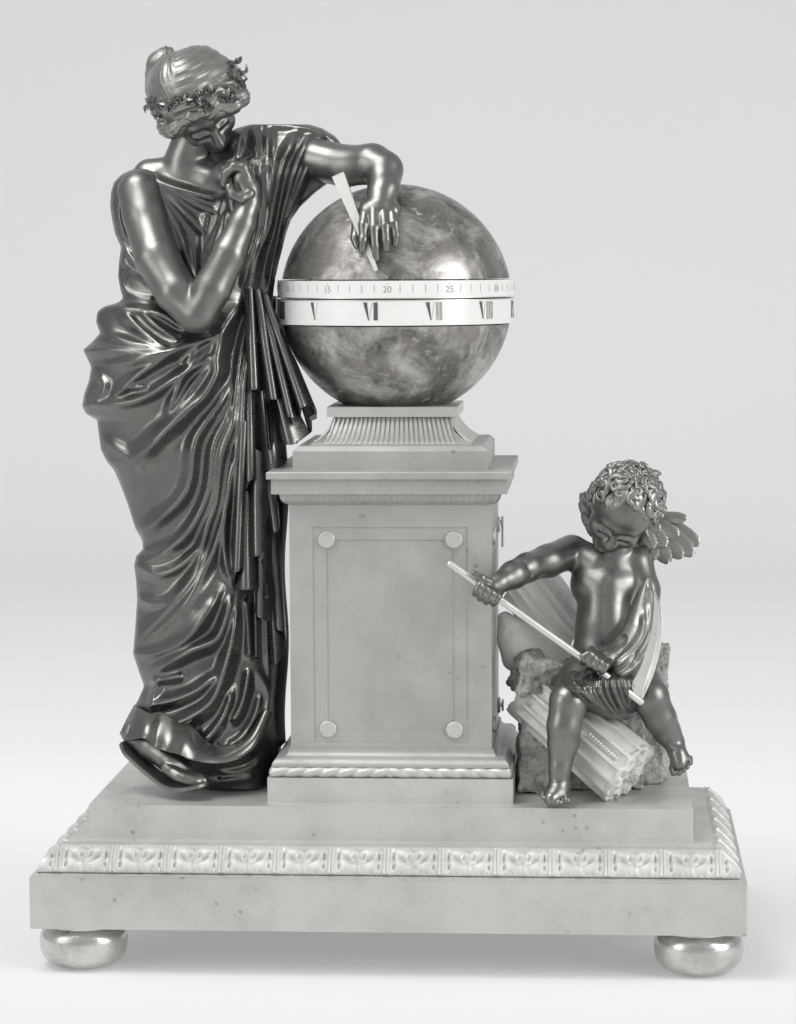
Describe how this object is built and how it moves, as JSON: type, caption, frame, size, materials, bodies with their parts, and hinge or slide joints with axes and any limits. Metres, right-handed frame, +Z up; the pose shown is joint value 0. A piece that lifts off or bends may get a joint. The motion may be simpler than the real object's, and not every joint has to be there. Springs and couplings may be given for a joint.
{
  "type": "figural mantel clock with ring dials",
  "caption": "Mantel clock: globe with turning hour and minute rings on a pedestal, a leaning robed figure, a winged child with a scythe, stepped plinth with leaf border",
  "frame": {"origin": "on the floor under the centre of the plinth", "axes": "+X to the viewer's right, +Y to the back (door side), +Z up; the front with the sunk panel faces -Y"},
  "size_m": [0.48, 0.264, 0.6277],
  "materials": {
    "gilt_bronze": "fire-gilt casting, pale, matt with burnished edges",
    "dark_bronze": "dark patina, semi-gloss, worn on the high places",
    "globe_bronze": "dark worn patina with paler blotches",
    "white_enamel": "white enamel with dark numerals",
    "pale_gilt": "pale gilding, satin",
    "rough_bronze": "rough pitted casting, matt",
    "clock_brass": "brushed clock brass",
    "blued_steel": "plain turned and filed steel"
  },
  "bodies": {
    "case": {"base_plinth": "gilt_bronze", "base_bottom_plate": "gilt_bronze", "bun_feet": "gilt_bronze", "leaf_border": "gilt_bronze", "upper_plinth": "gilt_bronze", "pedestal_socle": "gilt_bronze", "rope_moulding": "gilt_bronze", "pedestal_ogee": "gilt_bronze", "pedestal_front": "gilt_bronze", "pedestal_left_side": "gilt_bronze", "pedestal_right_side": "gilt_bronze", "door_hinges": "gilt_bronze", "panel_bosses": "gilt_bronze", "cornice": "gilt_bronze", "attic_block": "gilt_bronze", "globe_stand": "gilt_bronze", "woman_dress": "dark_bronze", "woman_head": "dark_bronze", "woman_arms": "dark_bronze", "woman_mantle": "dark_bronze", "sandalled_foot": "dark_bronze", "putto_torso": "dark_bronze", "putto_head": "dark_bronze", "putto_limbs": "dark_bronze", "putto_wings": "dark_bronze", "putto_cloth": "dark_bronze", "globe_lower_shell": "globe_bronze", "globe_upper_shell": "globe_bronze", "stylus": "pale_gilt", "scythe_pole": "pale_gilt", "scythe_blade": "pale_gilt", "fluted_drum": "pale_gilt", "column_fragment": "rough_bronze", "stone_blocks": "rough_bronze", "globe_post": "clock_brass", "motion_bridge": "clock_brass", "front_plate": "clock_brass", "back_plate": "clock_brass", "movement_pillars": "clock_brass", "pendulum_cock": "clock_brass", "tie_rods": "blued_steel", "fixing_nuts": "blued_steel", "case_screws": "blued_steel"},
    "minute": {"minute_ring": "white_enamel", "minute_carrier": "clock_brass"},
    "hour": {"hour_ring": "white_enamel", "hour_carrier": "clock_brass"},
    "motion": {"motion_wheel": "clock_brass"},
    "centre": {"centre_arbor": "clock_brass"},
    "third": {"third_arbor": "clock_brass"},
    "escape": {"escape_arbor": "clock_brass"},
    "barrel": {"going_barrel": "clock_brass"},
    "winding": {"winding_arbor": "blued_steel"},
    "click_lever": {"click": "blued_steel"},
    "pendulum": {"anchor": "blued_steel", "pendulum_rod": "blued_steel", "pendulum_bob": "clock_brass"},
    "door": {"back_door": "gilt_bronze"},
    "lower_turn": {"lower_catch": "gilt_bronze"},
    "upper_turn": {"upper_catch": "gilt_bronze"}
  },
  "joints": [
    {"name": "minute_turn", "type": "hinge", "parent": "case", "child": "minute", "pos_m": [0, 0, 0.458], "axis": [0, 0, 1], "continuous": true},
    {"name": "hour_turn", "type": "hinge", "parent": "case", "child": "hour", "pos_m": [0, 0, 0.443], "axis": [0, 0, 1], "continuous": true},
    {"name": "motion_turn", "type": "hinge", "parent": "case", "child": "motion", "pos_m": [0.018, 0, 0.4], "axis": [0, 0, 1], "continuous": true},
    {"name": "centre_turn", "type": "hinge", "parent": "case", "child": "centre", "pos_m": [0, 0.03, 0.245], "axis": [0, 1, 0], "continuous": true},
    {"name": "third_turn", "type": "hinge", "parent": "case", "child": "third", "pos_m": [0.01609, 0.03, 0.26109], "axis": [0, 1, 0], "continuous": true},
    {"name": "escape_turn", "type": "hinge", "parent": "case", "child": "escape", "pos_m": [0, 0.03, 0.27101], "axis": [0, 1, 0], "continuous": true},
    {"name": "barrel_turn", "type": "hinge", "parent": "case", "child": "barrel", "pos_m": [-0.021, 0.03, 0.224], "axis": [0, 1, 0], "continuous": true},
    {"name": "winding_turn", "type": "hinge", "parent": "case", "child": "winding", "pos_m": [-0.021, 0.05, 0.224], "axis": [0, 1, 0], "continuous": true},
    {"name": "click_rock", "type": "hinge", "parent": "case", "child": "click_lever", "pos_m": [-0.029, 0.048, 0.2365], "axis": [0, -1, 0], "range_deg": [0, 12]},
    {"name": "pendulum_swing", "type": "hinge", "parent": "case", "child": "pendulum", "pos_m": [0, 0.05, 0.28515], "axis": [0, 1, 0], "range_deg": [-3.5, 3.5]},
    {"name": "back_door_swing", "type": "hinge", "parent": "case", "child": "door", "pos_m": [-0.067, 0.072, 0.23], "axis": [0, 0, 1], "range_deg": [0, 110]},
    {"name": "lower_catch_turn", "type": "hinge", "parent": "case", "child": "lower_turn", "pos_m": [0.066, 0.058, 0.1556], "axis": [1, 0, 0], "range_deg": [0, 90]},
    {"name": "upper_catch_turn", "type": "hinge", "parent": "case", "child": "upper_turn", "pos_m": [0.066, 0.058, 0.289], "axis": [1, 0, 0], "range_deg": [0, 90]}
  ],
  "couplings": [
    {"joint": "hour_turn", "follows": "minute_turn", "ratio": 0.083333},
    {"joint": "motion_turn", "follows": "minute_turn", "ratio": -0.33333},
    {"joint": "centre_turn", "follows": "minute_turn", "ratio": -1},
    {"joint": "third_turn", "follows": "minute_turn", "ratio": 12},
    {"joint": "escape_turn", "follows": "minute_turn", "ratio": -132},
    {"joint": "barrel_turn", "follows": "minute_turn", "ratio": 0.125}
  ]
}
